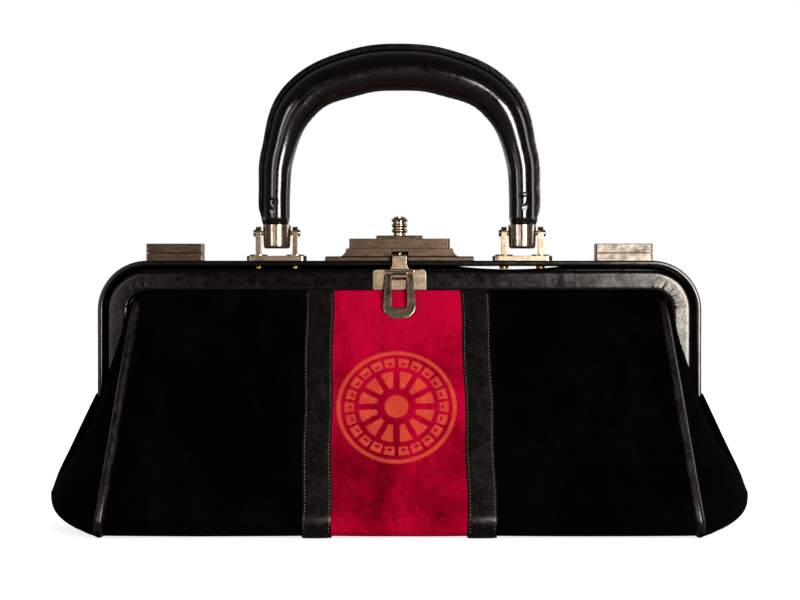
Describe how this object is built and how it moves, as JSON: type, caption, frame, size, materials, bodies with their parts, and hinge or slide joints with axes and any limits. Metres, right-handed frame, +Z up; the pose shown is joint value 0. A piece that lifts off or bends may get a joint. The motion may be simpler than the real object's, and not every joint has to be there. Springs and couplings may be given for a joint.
{
  "type": "frame handbag",
  "caption": "Velvet handbag with a leather-covered hinged frame, rolled top handle, push-button lock with hasp, and flip clasps, opening at the front jaw.",
  "frame": {"origin": "middle of the base, on the surface the bag stands on", "axes": "+X along the frame, -Y the front with the hasp, +Z up"},
  "size_m": [0.3, 0.11, 0.2073],
  "materials": {
    "velvet_black": "velvet pile",
    "velvet_red": "velvet pile",
    "leather_black": "glossy, worn",
    "nickel": "aged nickel plate",
    "steel": "plain",
    "brass": "polished",
    "lining": "plain woven",
    "board": "fibreboard"
  },
  "bodies": {
    "bag": {"velvet_left": "velvet_black", "velvet_right": "velvet_black", "velvet_red": "velvet_red", "gusset_left": "velvet_black", "gusset_right": "velvet_black", "strap_left": "leather_black", "strap_right": "leather_black", "piping_left": "leather_black", "piping_right": "leather_black", "base_board": "board", "lining": "lining", "carrying_band": "leather_black", "rear_jaw_leather": "leather_black", "rear_jaw_bar": "steel", "hinge_pin_left": "steel", "hinge_pin_right": "steel", "lock_plate": "nickel", "lock_case": "nickel", "lock_collar": "nickel", "lock_rivets": "nickel", "latch_spring": "steel", "post_rivets": "brass", "clasp_rivets": "nickel", "bracket_left": "nickel", "handle_pin_left": "nickel", "clasp_base_left": "nickel", "clasp_pin_left": "nickel", "bracket_right": "nickel", "handle_pin_right": "nickel", "clasp_base_right": "nickel", "clasp_pin_right": "nickel"},
    "front_jaw": {"front_jaw_leather": "leather_black", "front_jaw_bar": "steel", "hasp_plate": "nickel"},
    "bail": {"pull_bail": "nickel"},
    "handle": {"handle_grip": "leather_black", "ferrule_left": "nickel", "ferrule_right": "nickel"},
    "knob": {"push_knob": "nickel", "latch_plate": "steel"},
    "clasp_left": {"clasp_cover_left": "nickel"},
    "clasp_right": {"clasp_cover_right": "nickel"}
  },
  "joints": [
    {"name": "frame_hinge", "type": "hinge", "parent": "bag", "child": "front_jaw", "pos_m": [0, 0.0023, 0.05], "axis": [1, 0, 0], "range_deg": [0, 45]},
    {"name": "bail_swing", "type": "hinge", "parent": "front_jaw", "child": "bail", "pos_m": [0, -0.01547, 0.1073], "axis": [-1, 0, 0], "range_deg": [0, 140]},
    {"name": "handle_swing", "type": "hinge", "parent": "bag", "child": "handle", "pos_m": [0, 0, 0.126], "axis": [1, 0, 0], "range_deg": [-90, 90]},
    {"name": "knob_push", "type": "slide", "parent": "bag", "child": "knob", "axis": [0, 0, -1], "range_m": [0, 0.001], "stiffness_N_per_m": 300, "springref_m": -0.001, "deforming": ["latch_spring"]},
    {"name": "clasp_left_flip", "type": "hinge", "parent": "bag", "child": "clasp_left", "pos_m": [-0.096, 0.0065, 0.11753], "axis": [-1, 0, 0], "range_deg": [0, 110]},
    {"name": "clasp_right_flip", "type": "hinge", "parent": "bag", "child": "clasp_right", "pos_m": [0.096, 0.0065, 0.11753], "axis": [-1, 0, 0], "range_deg": [0, 110]}
  ]
}
